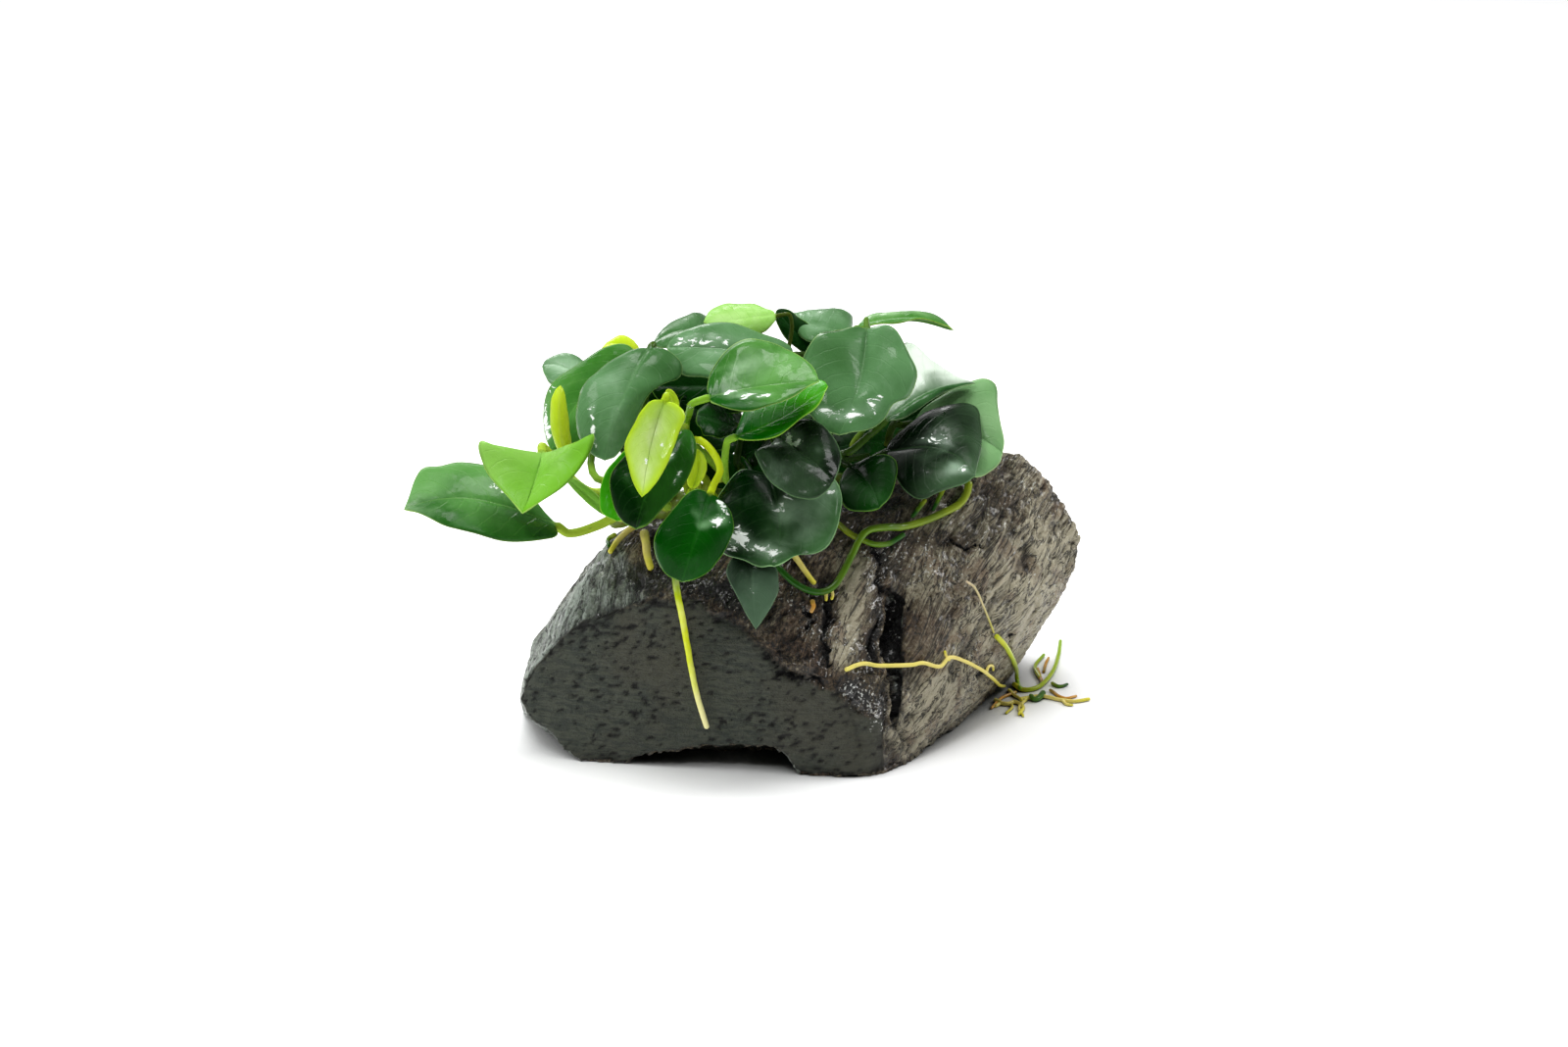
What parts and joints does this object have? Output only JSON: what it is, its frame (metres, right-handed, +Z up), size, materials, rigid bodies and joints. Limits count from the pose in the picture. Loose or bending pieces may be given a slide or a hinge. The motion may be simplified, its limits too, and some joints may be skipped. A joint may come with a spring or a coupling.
{
  "type": "anubias on driftwood",
  "caption": "Small aquarium plant with broad glossy leaves on a creeping stem, grown with its roots onto a short block of dark driftwood.",
  "frame": {"origin": "middle of the driftwood's flat underside, on the surface it rests on", "axes": "+Z up, +X along the driftwood to the right, -Y towards its sawn front face"},
  "size_m": [0.156, 0.1069, 0.0953],
  "materials": {
    "driftwood": "wet, dark and rough, with a smoother charcoal sawn face",
    "stem": "fleshy, half matt",
    "leaf_dark": "waxy, glossy",
    "leaf_grey": "waxy, glossy with a pale sheen",
    "leaf_mid": "waxy, glossy",
    "leaf_light": "waxy, half glossy",
    "leaf_yellow": "waxy, young and half glossy",
    "root_green": "smooth, half matt",
    "root_pale": "smooth, half matt"
  },
  "bodies": {
    "root": {"driftwood": "driftwood", "rhizome": "stem", "leaf_far_left": "leaf_dark", "leaf_light_left": "leaf_light", "leaf_left_front": "leaf_grey", "leaf_left_back": "leaf_mid", "leaf_spear_left": "leaf_yellow", "leaf_grey_back": "leaf_grey", "leaf_yellow_behind": "leaf_yellow", "leaf_yellow_front": "leaf_yellow", "leaf_dark_front": "leaf_dark", "leaf_light_behind": "leaf_light", "leaf_sheath": "leaf_yellow", "leaf_round_front": "leaf_dark", "leaf_light_top": "leaf_mid", "leaf_inner": "leaf_dark", "leaf_green_under": "leaf_mid", "leaf_dark_centre": "leaf_dark", "leaf_big_front": "leaf_dark", "leaf_big_right": "leaf_grey", "leaf_sheen_right": "leaf_grey", "leaf_far_right_front": "leaf_dark", "leaf_far_right_back": "leaf_mid", "leaf_small_right": "leaf_dark", "leaf_low_front": "leaf_dark", "leaf_yellow_top": "leaf_yellow", "leaf_dark_top_left": "leaf_dark", "leaf_dark_top_mid": "leaf_dark", "leaf_grey_top": "leaf_grey", "leaf_spike_top": "leaf_mid", "leaf_rear_left": "leaf_dark", "leaf_rear_left_low": "leaf_mid", "leaf_rear_top_left": "leaf_grey", "leaf_rear_middle": "leaf_dark", "leaf_rear_top_right": "leaf_mid", "leaf_rear_right": "leaf_grey", "leaf_rear_right_low": "leaf_dark", "root_front_hanging": "root_green", "root_left_short": "root_pale", "root_left_thick": "root_pale", "root_right_loop": "root_green", "root_right_second": "root_green", "root_pale_straight": "root_pale", "root_upper_left": "root_green", "root_upper_right": "root_green", "root_side_long": "root_pale", "root_side_hair": "root_pale", "root_floor_main": "root_green", "root_floor_fork": "root_green", "root_floor_side": "root_pale", "root_floor_near": "root_pale"}
  },
  "joints": []
}
